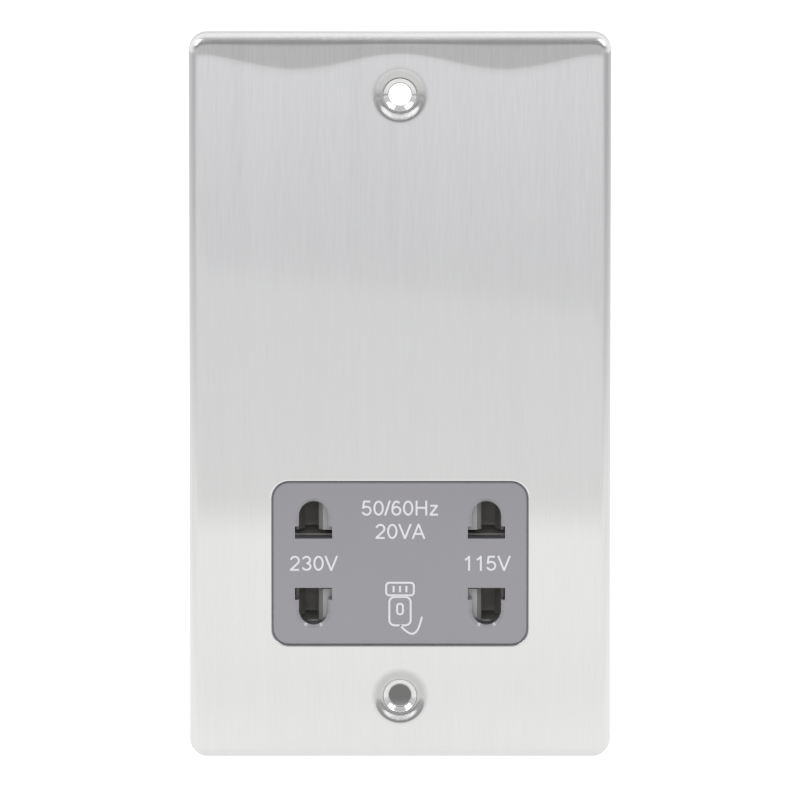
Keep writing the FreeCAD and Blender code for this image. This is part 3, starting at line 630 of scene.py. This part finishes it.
class PlateLoops:
    """Loops of (x, z) points that divide the plate's flat face into four bands: one round each
    fixing hole, one round the window, and a plain one between the window and the upper hole."""

    # How many points each run has
    end_count, middle_count, side_count, edge_count, inner_count, ray_count = 15, 40, 30, 91, 71, 13

    def __init__(self, p):
        self.half_x = p.half_width - p.edge_radius
        self.half_z = p.half_height - p.edge_radius
        self.radius = p.corner_radius - p.edge_radius
        self.cut = p.hole_rise - p.dish_radius - p.edge_radius
        self.joint = 2 * p.window_z + self.cut
        x = self.half_x - self.radius
        z = self.half_z - self.radius
        end = np.linspace(self.cut, z, self.end_count)
        self.middle_z = np.linspace(self.joint, self.cut, self.middle_count)
        window_side = np.linspace(-self.cut, self.joint, self.side_count)
        edge = crowded(x, self.edge_count)
        self.cut_x = self.shared_points(p)
        cap = [upright(self.half_x, end), corner_turn(x, z, self.radius, 0), across(edge[::-1], self.half_z),
               corner_turn(-x, z, self.radius, QUARTER), upright(-self.half_x, end[::-1])]
        self.top = chain(*cap, across(self.cut_x, self.cut))
        self.bottom = -self.top
        self.window = chain(upright(self.half_x, window_side), across(self.cut_x[::-1], self.joint),
                            upright(-self.half_x, window_side[::-1]), across(self.cut_x, -self.cut))
        sides = np.concatenate([window_side, self.middle_z])
        self.outline = chain(*cap, upright(-self.half_x, sides[::-1]), *[-line for line in cap],
                             upright(self.half_x, sides))

    def shared_points(self, p):
        """Where rays from the window's centre through its rounded corners cross the band's edge,
        with points between and beyond them."""
        angle = np.linspace(0, QUARTER, self.ray_count)
        reach = p.window_corner + p.window_edge
        ray_x = p.window_half_width - p.window_corner + reach * np.cos(angle)
        ray_z = p.window_half_height - p.window_corner + reach * np.sin(angle)
        rays = ray_x / ray_z * (self.joint - p.window_z)
        inner = crowded(rays.min(), self.inner_count)
        return np.unique(np.concatenate([-rays, inner, rays, [-self.half_x, self.half_x]]).round(8))

    def outward(self):
        """Unit direction away from the outline at each of its points."""
        core = np.array([self.half_x - self.radius, self.half_z - self.radius])
        return unit(self.outline - np.clip(self.outline, -core, core))


def window_ring(p, loop, gap):
    """Where the ray from the window's centre to each point crosses the window's rounded outline,
    kept a gap outside it: on a straight side by proportion, on a corner by the circle's equation."""
    ray = loop - np.array([0, p.window_z])
    core = np.array([p.window_half_width, p.window_half_height]) - p.window_corner
    radius = p.window_corner + gap
    size = np.maximum(np.abs(ray), 1e-12)
    side = (core + radius) / size
    square = (size ** 2).sum(1)
    along = size @ core
    corner = (along + np.sqrt(np.maximum(along ** 2 - square * (core @ core - radius ** 2), 0))) / square
    on_side = side[:, 0] * size[:, 1] <= core[1]
    on_top = side[:, 1] * size[:, 0] <= core[0]
    scale = np.where(on_side, side[:, 0], np.where(on_top, side[:, 1], corner))
    return scale[:, None] * ray


def standing(flat, y):
    """(x, z) points stood up as (x, y, z)."""
    y = np.broadcast_to(y, flat.shape[:-1])
    return np.stack([flat[..., 0], y, flat[..., 1]], -1)


def ruled(inner, outer, rows, y):
    """Flat patch between two matching loops: inner plus share times (outer minus inner)."""
    part = np.linspace(0, 1, rows)[:, None, None]
    return standing(inner + part * (outer - inner), y)


def dish_profile(p, steps=34, back_steps=12):
    """Radius and depth down the front of a dished hole and back up behind the sheet: soft hollow, small
    steep step, screw seat, bore, then a flat, a cone and a rounded lip behind. The hollow falls by
    tan(dish slope) times sin(pi u to the power hollow), u from 0 at its rim to 1 at the step."""
    step_radius = p.seat_radius + p.step_width
    u = np.linspace(0, 1, steps)
    fall = math.tan(p.dish_slope) * np.sin(math.pi * u ** p.hollow)
    run_in = (p.hollow_radius - step_radius) * u
    sunk = np.concatenate([[0], np.cumsum((fall[1:] + fall[:-1]) / 2 * np.diff(run_in))])
    front = np.stack([p.hollow_radius - run_in, sunk], -1)
    back_radius = p.lip_radius - p.sheet
    angle = np.linspace(p.back_slope, 0, back_steps)
    behind = np.stack([p.dish_radius - back_radius * np.sin(angle),
                       p.lip_radius - back_radius * np.cos(angle)], -1)
    step_depth = sunk[-1]
    seat_depth = step_depth + p.step_width * math.tan(p.step_slope)
    bore_depth = seat_depth + (p.seat_radius - p.bore_radius) * math.tan(p.seat_slope)
    back_depth = bore_depth + p.sheet
    foot_radius = behind[0, 0] - (back_depth - behind[0, 1]) / math.tan(p.back_slope)
    corners = np.array([front[-2], (step_radius, step_depth), (p.seat_radius, seat_depth),
                        (p.bore_radius, bore_depth), (p.bore_radius, back_depth),
                        (max(foot_radius, p.bore_radius + p.ease), back_depth), behind[0]])
    return np.concatenate([front[:-2], eased(corners, p.ease), behind[1:]])


def dished_hole(p, z, loop):
    """The dish profile turned about the hole's axis, with one column for each point of a loop."""
    middle = np.array([0, z])
    radius, depth = dish_profile(p).T[:, :, None]
    flat = middle + radius[..., None] * unit(loop - middle)
    return standing(flat, depth - p.depth)


def window_wall(p, loop, steps=6):
    """Rounded front edge and plain wall of the window, carried round its outline."""
    angle = np.linspace(0, QUARTER, steps)
    gap = np.append(p.window_edge * (1 - np.sin(angle)), 0)
    depth = np.append(p.window_edge * (1 - np.cos(angle)), p.sheet)
    outside = window_ring(p, loop, p.window_edge)
    core = np.array([p.window_half_width, p.window_half_height]) - p.window_corner
    anchor = np.clip(outside, -core, core)
    reach = (p.window_corner + gap)[:, None, None]
    flat = anchor + reach * unit(outside - anchor) + np.array([0, p.window_z])
    return standing(flat, (depth - p.depth)[:, None])


def plate_rim(p, loops, steps=15):
    """Rounded edge, side wall and their inner faces: a profile of outward reach and depth
    carried round the outline."""
    angle = np.linspace(0, QUARTER, steps)
    inner = p.edge_radius - p.sheet
    reach = np.concatenate([p.edge_radius * np.sin(angle), [p.edge_radius, inner],
                            inner * np.sin(angle[::-1])])
    depth = np.concatenate([p.edge_radius * (1 - np.cos(angle)), [p.depth, p.depth],
                            p.edge_radius - inner * np.cos(angle[::-1])])
    flat = loops.outline + reach[:, None, None] * loops.outward()
    return standing(flat, (depth - p.depth)[:, None])


def bowed(p, grid):
    """The face leans back towards its top edge by tilt times reach times exp(-(distance) / reach), where
    reach swings between its least and most as sine squared across the plate. Past the face's end the
    lean goes on at its last slope."""
    swing = np.sin(math.pi * grid[..., 0] / p.bow_spacing) ** 2
    reach = p.bow_least + (p.bow_most - p.bow_least) * swing
    past = grid[..., 2] - (p.half_height - p.edge_radius)
    lean = math.tan(p.bow_tilt) * (reach * np.exp(np.minimum(past, 0) / reach) + np.maximum(past, 0))
    bent = grid.copy()
    bent[..., 1] += lean * grid[..., 1] / -p.depth
    return bent


def plate_grids(p):
    """All the grids of the plate: face, back, dishes, window wall and rim."""
    loops = PlateLoops(p)
    holes = ((p.hole_rise, loops.top), (-p.hole_rise, loops.bottom))
    grids = [(plate_rim(p, loops), True), (window_wall(p, loops.window), True)]
    grids += [(dished_hole(p, z, loop), True) for z, loop in holes]
    for y, rows, radius, gap in ((-p.depth, FACE_ROWS, p.hollow_radius, p.window_edge),
                                 (p.sheet - p.depth, BACK_ROWS, p.dish_radius, 0.0)):
        for z, loop in holes:
            middle = np.array([0, z])
            grids.append((ruled(middle + radius * unit(loop - middle), loop, rows, y), True))
        ring = window_ring(p, loops.window, gap) + np.array([0, p.window_z])
        grids.append((ruled(ring, loops.window, rows, y), True))
        plain = np.stack(np.meshgrid(loops.cut_x, loops.middle_z), -1)
        grids.append((standing(plain, y), False))
    return [(bowed(p, grid), closed) for grid, closed in grids]


# Studs

def threaded_stud(m, x, z, columns=40, rows_a_turn=12):
    """Stud along Y: radius minus depth times a triangle wave of (y / pitch - turn), its crests and roots
    cut flat, tapered at the tip, with both ends drawn in to a point on the axis."""
    low, high = STUDS_LOW.y, STUDS_HIGH.y
    y = np.linspace(low, high, int(rows_a_turn * (high - low) / m.thread_pitch))[:, None]
    angle = np.linspace(0, 2 * math.pi, columns, endpoint=False)[None, :]
    wave = np.abs(2 * ((y / m.thread_pitch - angle / (2 * math.pi)) % 1) - 1)
    cut = m.stud_radius - m.thread_depth * np.clip(1.25 * wave - 0.1, 0, 1)
    taper = m.stud_radius - np.clip(y - (high - 2 * m.thread_depth), 0, None)
    point = np.zeros((1, columns))
    ring = np.concatenate([point, np.minimum(cut, taper), point])
    y = np.broadcast_to(np.concatenate([y[:1], y, y[-1:]]), ring.shape)
    return np.stack([x + ring * np.cos(angle), y, z + ring * np.sin(angle)], -1)


# Shutter springs

def leaf_spring(m, side, low, high, rows=41):
    """Bowed strip: its middle stands off its ends by R minus the root of (R squared minus z squared), one
    strip's thickness through, with both ends drawn in to a point."""
    half = (high.z - low.z) / 2
    z = np.linspace(-half, half, rows)
    sag = high.x - low.x - m.spring_strip
    radius = (half ** 2 + sag ** 2) / (2 * sag)
    bow = radius - np.sqrt(radius ** 2 - z ** 2)
    crown = low.x if side > 0 else high.x
    near = crown + side * bow
    far = near + side * m.spring_strip
    x = np.stack([near, near, far, far], -1)
    y = np.broadcast_to([low.y, high.y, high.y, low.y], x.shape)
    return drawn_in(np.stack([x, y, np.broadcast_to((low.z + half + z)[:, None], x.shape)], -1))


# Printed marks

def bend(x, z, wide, high, start, end, count=17):
    """Part of an ellipse: centre plus (wide cos, high sin) of the angles from start to end, in degrees."""
    angle = np.radians(np.linspace(start, end, count))
    return np.stack([x + wide * np.cos(angle), z + high * np.sin(angle)], -1)


# Each printed sign: the room it takes and its centre lines, in heights of a capital
SIGNS = {
    "0": (0.78, [bend(0.39, 0.5, 0.28, 0.44, 0, 360, 33)]),
    "1": (0.78, [((0.47, 0.0), (0.47, 1.0)), ((0.20, 0.73), (0.36, 0.82), (0.48, 0.96))]),
    "2": (0.78, [(*bend(0.38, 0.68, 0.265, 0.26, 168, -32), (0.36, 0.30), (0.10, 0.07)),
                 ((0.06, 0.06), (0.66, 0.06))]),
    "3": (0.78, [bend(0.37, 0.72, 0.235, 0.22, 165, -90), bend(0.37, 0.28, 0.27, 0.22, 90, -165)]),
    "5": (0.78, [((0.62, 0.94), (0.19, 0.94)), ((0.21, 0.97), (0.14, 0.47)),
                 bend(0.37, 0.33, 0.28, 0.27, 142, -160)]),
    "6": (0.78, [bend(0.39, 0.32, 0.265, 0.26, 0, 360, 33), bend(0.41, 0.42, 0.285, 0.52, 52, 192)]),
    "/": (0.40, [((0.04, 0.0), (0.36, 1.0))]),
    "A": (0.90, [((0.06, 0.0), (0.46, 1.0)), ((0.84, 0.0), (0.44, 1.0)), ((0.19, 0.33), (0.71, 0.33))]),
    "H": (0.98, [((0.17, 0.0), (0.17, 1.0)), ((0.81, 0.0), (0.81, 1.0)), ((0.17, 0.52), (0.81, 0.52))]),
    "V": (0.90, [((0.06, 1.0), (0.46, 0.0)), ((0.84, 1.0), (0.44, 0.0))]),
    "z": (0.68, [((0.10, 0.66), (0.58, 0.66)), ((0.57, 0.68), (0.09, 0.05)), ((0.07, 0.06), (0.61, 0.06))]),
}


def drawn_line(f, path, lift=1.0):
    """A flat line of even width along a path: the path moved half a width to each side, from just
    under the face to just above it. A path that ends where it starts is a ring; the ends of any
    other are drawn in to a point."""
    ring = np.allclose(path[0], path[-1])
    ahead = np.gradient(path, axis=0)
    if ring:
        ahead[[0, -1]] = ahead[0] + ahead[-1]
    ahead = unit(ahead)
    side = np.stack([-ahead[:, 1], ahead[:, 0]], -1) * f.line_width / 2
    way = np.array([1, 1, -1, -1])
    rise = np.array([-1, lift, lift, -1]) * f.ink_depth
    line = standing(path[:, None] + way[:, None] * side[:, None], f.front - rise)
    return line if ring else drawn_in(line), True


def lettering(f, text, x, z):
    """Lines of a word on the socket face, centred on x with its foot at z. Lines that cross differ a
    little in height, so that no two faces lie in one plane."""
    left = x - sum(SIGNS[sign][0] for sign in text) * f.letter_height / 2
    lines = []
    for sign in text:
        wide, strokes = SIGNS[sign]
        for k, stroke in enumerate(strokes):
            path = np.array([left, z]) + f.letter_height * np.array(stroke)
            lines.append(drawn_line(f, path, 1 + 0.1 * k))
        left += wide * f.letter_height
    return lines


def rounded_outline(x, z, half_x, half_z, radius):
    """Rounded rectangle as one closed loop."""
    a, b = half_x - radius, half_z - radius
    corners = ((x + a, z + b), (x - a, z + b), (x - a, z - b), (x + a, z - b))
    return chain(*[corner_turn(*corner, radius, k * QUARTER) for k, corner in enumerate(corners)])


def shaver_sign(f, z):
    """Plain outline of an electric shaver: body, cutter head, foil lines, switch and lead."""
    h = f.sign_height
    body = rounded_outline(0, z - 0.06 * h, 0.20 * h, 0.27 * h, 0.10 * h)
    head = rounded_outline(0, z + 0.36 * h, 0.26 * h, 0.12 * h, 0.06 * h)
    switch = rounded_outline(0, z - 0.02 * h, 0.055 * h, 0.10 * h, 0.05 * h)
    s = np.linspace(0, 1, 40)
    lead = np.stack([0.42 * h * s + 0.10 * h * np.sin(math.pi * s),
                     z - h * (0.33 + 0.16 * np.sin(1.5 * math.pi * s))], -1)
    lines = [drawn_line(f, np.concatenate([loop, loop[:1]])) for loop in (body, head, switch)]
    for x in (-0.12, 0.0, 0.12):
        lines.append(drawn_line(f, upright(x * h, np.linspace(z + 0.30 * h, z + 0.42 * h, 4))))
    lines.append(drawn_line(f, lead))
    return lines


# Dressing

def dress(material, *nodes):
    """Gives CAD nodes a finish."""
    for name in nodes:
        for place in frame["nodes"][name].material_slots:
            place.material = material


def settle(piece, slot, *nodes):
    """A new piece rides on the unit and stands for its CAD nodes, which it hides. The slot is not used."""
    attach(piece, UNIT)
    if nodes:
        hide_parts(*nodes)


class WallPlate(Operator):
    """Builds the brushed steel plate"""

    bl_idname = "shaver_socket.wall_plate"
    bl_label = "Wall plate"

    def execute(self, context):
        p = context.scene.shaver_plate
        piece = surface("brushed_plate", plate_grids(p), brushed_steel(p))
        settle(piece, "plate_steel", "front_plate")
        return {"FINISHED"}


class FixingStuds(Operator):
    """Builds the threaded studs and plates their nuts"""

    bl_idname = "shaver_socket.fixing_studs"
    bl_label = "Studs and nuts"

    def execute(self, context):
        m = context.scene.shaver_metal
        zinc = rolled_metal("zinc_plate", m.zinc, 0.3, 0.4)
        dress(zinc, "stud_nuts")
        grids = [(threaded_stud(m, x, z), True)
                 for x in (STUDS_LOW.x + m.stud_radius, STUDS_HIGH.x - m.stud_radius)
                 for z in (STUDS_LOW.z + m.stud_radius, STUDS_HIGH.z - m.stud_radius)]
        settle(surface("threaded_studs", grids, zinc), "plated_steel", "weld_studs")
        return {"FINISHED"}


class SocketFace(Operator):
    """Finishes the grey face moulding"""

    bl_idname = "shaver_socket.socket_face"
    bl_label = "Socket face"

    def execute(self, context):
        f = context.scene.shaver_face
        dress(moulded("face_plastic", f.grey, f.roughness, gloss=1.0, gloss_index=1.8), "face_moulding")
        return {"FINISHED"}


class PrintedMarks(Operator):
    """Prints the voltages, the rating and a shaver on the face"""

    bl_idname = "shaver_socket.printed_marks"
    bl_label = "Printed marks"

    def execute(self, context):
        f = context.scene.shaver_face
        ink = printed_ink("printed_ink", f.ink)
        low, high = OPENINGS["pin_115v_upper"]
        outlet = (low[0] + high[0]) / 2
        window = context.scene.shaver_plate.window_z
        # Name, line, middle, and height of the foot in capitals from the window's middle
        marks = (("mark_left", f.left_mark, -outlet, -0.5), ("mark_right", f.right_mark, outlet, -0.5),
                 ("rating_upper", f.first_line, 0.0, 3.2), ("rating_lower", f.second_line, 0.0, 1.64))
        for name, text, x, rise in marks:
            lines = lettering(f, text, x, window + rise * f.letter_height)
            settle(surface(name, lines, ink), "face_plastic")
        settle(surface("shaver_sign", shaver_sign(f, window - 3.0 * f.letter_height), ink), "face_plastic")
        return {"FINISHED"}


class Interlock(Operator):
    """Finishes the interlock shutter and its springs"""

    bl_idname = "shaver_socket.interlock"
    bl_label = "Interlock"

    def execute(self, context):
        m = context.scene.shaver_metal
        dress(moulded("shutter_plastic", context.scene.shaver_moulding.shutter, 0.35, gloss=0.3),
              "interlock_shutter")
        bronze = rolled_metal("spring_bronze", m.bronze, 0.25, (0.3, 0.3, 2))
        for side, name in ((-1, "left"), (1, "right")):
            low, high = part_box("shutter_spring_" + name)
            spring = surface("leaf_spring_" + name, [(leaf_spring(m, side, low, high), True)], bronze)
            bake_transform(spring)
            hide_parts("shutter_spring_" + name)
        return {"FINISHED"}


class Contacts(Operator):
    """Finishes the contacts and their carrier"""

    bl_idname = "shaver_socket.contacts"
    bl_label = "Contacts"

    def execute(self, context):
        m = context.scene.shaver_metal
        dress(rolled_metal("contact_strip", m.contact, 0.5, (2, 0.2, 0.2), bare=0.3),
              "common_contact", "contact_230v", "contact_115v")
        dress(moulded("carrier_plastic", context.scene.shaver_moulding.carrier, 0.5), "contact_carrier")
        return {"FINISHED"}


class Transformer(Operator):
    """Finishes the transformer and its thermal cut-out"""

    bl_idname = "shaver_socket.transformer"
    bl_label = "Transformer"

    def execute(self, context):
        c = context.scene.shaver_coil
        mouldings = context.scene.shaver_moulding
        dress(core_laminations(c), "laminated_core")
        dress(enamelled_wire(c), "primary_winding", "secondary_winding")
        dress(film_tape(c), "primary_tape", "secondary_tape")
        dress(moulded("bobbin_plastic", mouldings.bobbin, 0.45), "bobbin")
        dress(moulded("cutout_case", mouldings.cutout, 0.5, gloss=0.2), "thermal_cutout")
        dress(rolled_metal("tinned_wire", context.scene.shaver_metal.tin, 0.22,
                           (0.2, 0.2, 1)), "bobbin_pins")
        return {"FINISHED"}


class Housing(Operator):
    """Finishes the rear housing"""

    bl_idname = "shaver_socket.housing"
    bl_label = "Rear housing"

    def execute(self, context):
        dress(moulded("housing_plastic", context.scene.shaver_moulding.housing, 0.5,
                      grain=0.5, depth=0.03 * MM), "rear_housing")
        return {"FINISHED"}


class Terminals(Operator):
    """Finishes the terminals, their screws and the earth strap"""

    bl_idname = "shaver_socket.terminals"
    bl_label = "Terminals"

    def execute(self, context):
        m = context.scene.shaver_metal
        dress(rolled_metal("terminal_brass", m.brass, 0.28, (0.25, 0.25, 4)),
              "live_terminal", "neutral_terminal", "earth_terminal")
        dress(rolled_metal("screw_zinc", m.zinc, 0.26, 0.3), "terminal_screws")
        dress(rolled_metal("strap_brass", m.brass, 0.3, (0.2, 3, 3)), "earth_strap")
        return {"FINISHED"}


class Leads(Operator):
    """Sleeves the inner leads"""

    bl_idname = "shaver_socket.leads"
    bl_label = "Inner leads"

    def execute(self, context):
        sleeves = context.scene.shaver_lead
        for name, nodes in (("brown", ("lead_live", "lead_cutout")), ("blue", ("lead_neutral",)),
                            ("white", ("lead_common",)), ("red", ("lead_230v",)),
                            ("yellow", ("lead_115v",))):
            dress(wire_sleeve("sleeve_" + name, getattr(sleeves, name)), *nodes)
        return {"FINISHED"}


# Stage

def room(s):
    """Studio round the floor: dark in front above the camera, paler low down, bright overhead and behind."""
    world = bpy.data.worlds.new("studio")
    bpy.context.scene.world = world
    world.use_nodes = True
    sky = Shading(world.node_tree)
    _, back, up = sky.axes(sky.node("TexCoord", output="Generated"))
    # Parts of the direction, up or back, between which one brightness turns into the next
    low, over, rear = (0.035, 0.13), (-0.95, 0.05), (0.55, 0.95)
    front = sky.step(up, *low, s.sky_low, s.sky_front)
    top = sky.step(back, *over)
    level = front + top * (s.sky_top - front) + sky.step(back, *rear) * (s.sky_back - s.sky_top)
    glow = sky.node("Background", inputs={"Strength": level, "Color": (1.0, 1.0, 1.0, 1.0)})
    sky.node("OutputWorld", inputs={"Surface": glow})


def softbox(name, place, target, size, watts, mirrored=True):
    """Soft light at a place, turned to a target, out of the camera's sight and, unless mirrored, out
    of reflections."""
    lamp = bpy.data.lights.new(name, "AREA")
    lamp.shape = "RECTANGLE"
    lamp.size, lamp.size_y = size
    lamp.energy = watts
    light = bpy.data.objects.new(name, lamp)
    light.location = place
    light.rotation_euler = (Vector(target) - Vector(place)).to_track_quat("-Z", "Y").to_euler()
    light.visible_camera = False
    light.visible_glossy = mirrored
    bpy.context.scene.collection.objects.link(light)


def camera(s, depth):
    """Camera in front, a little above, framed as wide as frame_width at the object, and aimed at the
    middle of the plate's depth."""
    lens = bpy.data.cameras.new("camera")
    lens.sensor_width = 36.0
    lens.lens = lens.sensor_width * s.distance / s.frame_width
    seat = bpy.data.objects.new("camera", lens)
    back = Vector((0, -math.cos(s.elevation), math.sin(s.elevation)))
    aim = Vector((0, -depth / 2, s.aim_z))
    seat.location = aim + s.distance * back
    seat.rotation_mode = "QUATERNION"
    seat.rotation_quaternion = (-back).to_track_quat("-Z", "Y")
    bpy.context.scene.collection.objects.link(seat)
    bpy.context.scene.camera = seat


class Stage(Operator):
    """Lays the floor, sets the lights and places the camera"""

    bl_idname = "shaver_socket.stage"
    bl_label = "Stage"

    def execute(self, context):
        s = context.scene.shaver_stage
        xs = np.linspace(-s.floor_side, s.floor_side, 2)
        ys = np.linspace(-s.floor_front, s.floor_back, 2)
        flat = np.stack(np.meshgrid(xs, ys), -1)
        floor = np.dstack([flat, np.full(flat.shape[:2], PLATE_LOW.z)])
        surface("floor", [(floor, False)], studio_paper(s))
        room(s)
        for side, name in ((-1, "left_key"), (1, "right_key")):
            place = (side * s.key_place[0], *s.key_place[1:])
            softbox(name, place, (0, 0, 0), s.key_size, s.key_power)
        softbox("fill_light", s.fill_place, (0, 0, 0), s.fill_size, s.fill_power, mirrored=False)
        below = (0, s.back_place[1], 0)
        softbox("back_light", s.back_place, below, s.back_size, s.back_power, mirrored=False)
        camera(s, context.scene.shaver_plate.depth)
        context.scene.view_settings.view_transform = "Standard"
        return {"FINISHED"}


GROUPS = {"shaver_plate": PlateSettings, "shaver_face": FaceSettings, "shaver_moulding": MouldingSettings,
          "shaver_metal": MetalSettings, "shaver_coil": CoilSettings, "shaver_lead": LeadSettings,
          "shaver_stage": StageSettings}
STEPS = (WallPlate, FixingStuds, SocketFace, PrintedMarks, Interlock, Contacts, Transformer, Housing,
         Terminals, Leads, Stage)


class SocketPanel(Panel):
    """Settings and steps of the shaver socket"""

    bl_idname = "VIEW3D_PT_shaver_socket"
    bl_label = "Shaver socket"
    bl_space_type = "VIEW_3D"
    bl_region_type = "UI"
    bl_category = "Shaver socket"

    def draw(self, context):
        for step in STEPS:
            self.layout.operator(step.bl_idname)
        for name, group in GROUPS.items():
            box = self.layout.box()
            box.label(text=group.__doc__)
            settings = getattr(context.scene, name)
            for field in group.__annotations__:
                box.prop(settings, field)


def register():
    for kind in (*GROUPS.values(), *STEPS, SocketPanel):
        bpy.utils.register_class(kind)
    for name, group in GROUPS.items():
        setattr(bpy.types.Scene, name, PointerProperty(type=group))


def unregister():
    for name in GROUPS:
        delattr(bpy.types.Scene, name)
    for kind in (SocketPanel, *reversed(STEPS), *reversed(GROUPS.values())):
        bpy.utils.unregister_class(kind)


def main():
    register()
    for step in STEPS:
        getattr(bpy.ops.shaver_socket, step.bl_idname.split(".")[1])()


if __name__ == "__main__":
    main()
